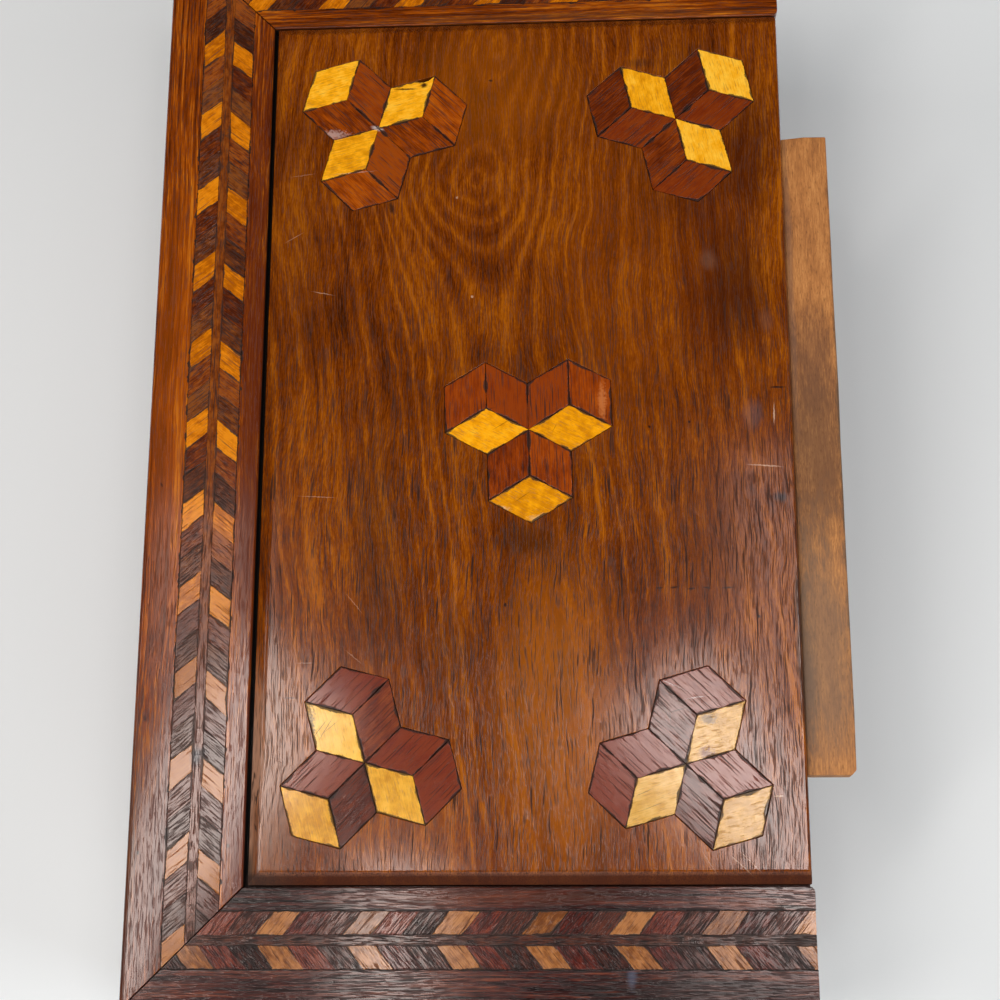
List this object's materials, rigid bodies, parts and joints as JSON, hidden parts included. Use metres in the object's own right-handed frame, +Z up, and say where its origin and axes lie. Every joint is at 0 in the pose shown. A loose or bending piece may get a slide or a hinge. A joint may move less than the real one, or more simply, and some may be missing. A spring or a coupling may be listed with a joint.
{
  "type": "marquetry jewelry box",
  "caption": "Wooden box with a mitred frame of herringbone banding and a raised lid with cube inlays, which slides out at one open side by a pull strip.",
  "frame": {"origin": "middle of the underside of the bottom board, on the surface that the box stands on", "axes": "+Z up through the lid; Y along the box, with near at -Y and far at +Y; +X towards the open side, where the lid slides out and its pull strip is"},
  "size_m": [0.1813, 0.2944, 0.0945],
  "materials": {
    "carcase_walnut": "old polished walnut, semi-gloss",
    "frame_walnut": "old polished walnut, semi-gloss",
    "lid_walnut": "old polished walnut, semi-gloss",
    "banding_woods": "mixed pale and dark slips, worn polish",
    "pale_inlay": "yellow satinwood under aged polish",
    "dark_inlay": "reddish brown wood under aged polish",
    "raw_beech": "raw, unpolished, grimy"
  },
  "bodies": {
    "box": {"bottom_board": "carcase_walnut", "wall_left": "carcase_walnut", "wall_far": "carcase_walnut", "wall_near": "carcase_walnut", "wall_right": "carcase_walnut", "rail_left": "frame_walnut", "rail_far": "frame_walnut", "rail_near": "frame_walnut", "banding_left": "banding_woods", "banding_far": "banding_woods", "banding_near": "banding_woods"},
    "lid": {"lid_panel": "lid_walnut", "lid_pull": "raw_beech", "inlay_far_left_cube_1_light": "pale_inlay", "inlay_far_left_cube_1_dark_a": "dark_inlay", "inlay_far_left_cube_1_dark_b": "dark_inlay", "inlay_far_left_cube_2_light": "pale_inlay", "inlay_far_left_cube_2_dark_a": "dark_inlay", "inlay_far_left_cube_2_dark_b": "dark_inlay", "inlay_far_left_cube_3_light": "pale_inlay", "inlay_far_left_cube_3_dark_a": "dark_inlay", "inlay_far_left_cube_3_dark_b": "dark_inlay", "inlay_far_right_cube_1_light": "pale_inlay", "inlay_far_right_cube_1_dark_a": "dark_inlay", "inlay_far_right_cube_1_dark_b": "dark_inlay", "inlay_far_right_cube_2_light": "pale_inlay", "inlay_far_right_cube_2_dark_a": "dark_inlay", "inlay_far_right_cube_2_dark_b": "dark_inlay", "inlay_far_right_cube_3_light": "pale_inlay", "inlay_far_right_cube_3_dark_a": "dark_inlay", "inlay_far_right_cube_3_dark_b": "dark_inlay", "inlay_centre_cube_1_light": "pale_inlay", "inlay_centre_cube_1_dark_a": "dark_inlay", "inlay_centre_cube_1_dark_b": "dark_inlay", "inlay_centre_cube_2_light": "pale_inlay", "inlay_centre_cube_2_dark_a": "dark_inlay", "inlay_centre_cube_2_dark_b": "dark_inlay", "inlay_centre_cube_3_light": "pale_inlay", "inlay_centre_cube_3_dark_a": "dark_inlay", "inlay_centre_cube_3_dark_b": "dark_inlay", "inlay_near_left_cube_1_light": "pale_inlay", "inlay_near_left_cube_1_dark_a": "dark_inlay", "inlay_near_left_cube_1_dark_b": "dark_inlay", "inlay_near_left_cube_2_light": "pale_inlay", "inlay_near_left_cube_2_dark_a": "dark_inlay", "inlay_near_left_cube_2_dark_b": "dark_inlay", "inlay_near_left_cube_3_light": "pale_inlay", "inlay_near_left_cube_3_dark_a": "dark_inlay", "inlay_near_left_cube_3_dark_b": "dark_inlay", "inlay_near_right_cube_1_light": "pale_inlay", "inlay_near_right_cube_1_dark_a": "dark_inlay", "inlay_near_right_cube_1_dark_b": "dark_inlay", "inlay_near_right_cube_2_light": "pale_inlay", "inlay_near_right_cube_2_dark_a": "dark_inlay", "inlay_near_right_cube_2_dark_b": "dark_inlay", "inlay_near_right_cube_3_light": "pale_inlay", "inlay_near_right_cube_3_dark_a": "dark_inlay", "inlay_near_right_cube_3_dark_b": "dark_inlay"}
  },
  "joints": [
    {"name": "lid_slide", "type": "slide", "parent": "box", "child": "lid", "axis": [1, 0, 0], "range_m": [0, 0.12]}
  ]
}
